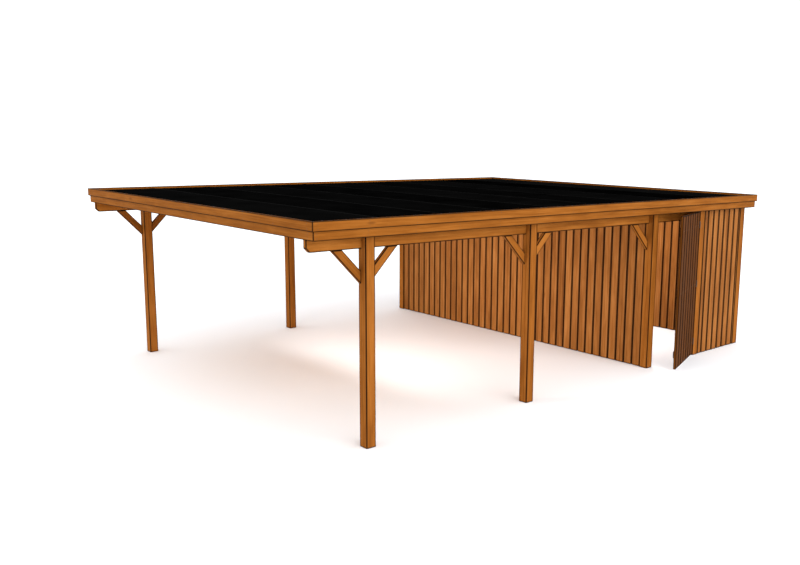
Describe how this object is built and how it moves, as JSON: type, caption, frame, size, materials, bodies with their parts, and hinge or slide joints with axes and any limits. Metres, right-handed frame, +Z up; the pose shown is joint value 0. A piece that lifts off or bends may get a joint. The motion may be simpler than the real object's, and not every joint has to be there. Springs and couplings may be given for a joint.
{
  "type": "double carport with shed",
  "caption": "Flat-roofed timber carport on square posts with knee braces, with a boarded shed across its rear end and a hinged door that stands ajar.",
  "frame": {"origin": "on the ground at the centre of the bounding box, which takes in the door as it stands ajar", "axes": "+Z up, -Y towards the open entrance, +X towards the side with the shed door"},
  "size_m": [6.0016, 8.36, 2.535],
  "materials": {
    "frame_timber": "planed softwood, brown stain",
    "brace_timber": "planed softwood, brown stain",
    "rafter_timber": "planed softwood, brown stain, in shade",
    "deck_boards": "planed boards, brown stain",
    "roofing_felt": "black bitumen roofing felt",
    "fascia_boards": "planed boards, brown stain",
    "wall_boards": "upright planed boards, brown stain",
    "door_boards": "upright planed boards, brown stain",
    "door_battens": "planed battens, brown stain",
    "hinge_steel": "zinc plated"
  },
  "bodies": {
    "frame": {"post_left_front": "frame_timber", "post_left_middle": "frame_timber", "post_left_shed": "frame_timber", "post_left_rear": "frame_timber", "post_right_front": "frame_timber", "post_right_middle": "frame_timber", "post_right_shed": "frame_timber", "post_right_rear": "frame_timber", "post_door_jamb": "frame_timber", "beam_left": "frame_timber", "beam_right": "frame_timber", "brace_left_front_fore": "brace_timber", "brace_left_front_aft": "brace_timber", "brace_left_middle_fore": "brace_timber", "brace_left_middle_aft": "brace_timber", "brace_left_shed_fore": "brace_timber", "brace_right_front_fore": "brace_timber", "brace_right_front_aft": "brace_timber", "brace_right_middle_fore": "brace_timber", "brace_right_middle_aft": "brace_timber", "brace_right_shed_fore": "brace_timber", "rafters_carport": "rafter_timber", "rafters_shed": "rafter_timber", "roof_deck": "deck_boards", "roof_felt": "roofing_felt", "lower_fascia_front": "fascia_boards", "lower_fascia_rear": "fascia_boards", "lower_fascia_left": "fascia_boards", "lower_fascia_right": "fascia_boards", "upper_fascia_front": "fascia_boards", "upper_fascia_rear": "fascia_boards", "upper_fascia_left": "fascia_boards", "upper_fascia_right": "fascia_boards", "partition_wall": "wall_boards", "left_wall": "wall_boards", "right_wall": "wall_boards", "rear_wall": "wall_boards", "left_wall_rail": "rafter_timber", "right_wall_rail": "rafter_timber", "door_stop": "rafter_timber", "hinges_on_jamb": "hinge_steel"},
    "door": {"door_leaf": "door_boards", "door_ledges": "door_battens", "door_diagonals": "door_battens", "hinges_on_leaf": "hinge_steel"}
  },
  "joints": [
    {"name": "shed_door", "type": "hinge", "parent": "frame", "child": "door", "pos_m": [2.65924, 2.779, 0], "axis": [0, 0, 1], "range_deg": [-20, 90]}
  ]
}
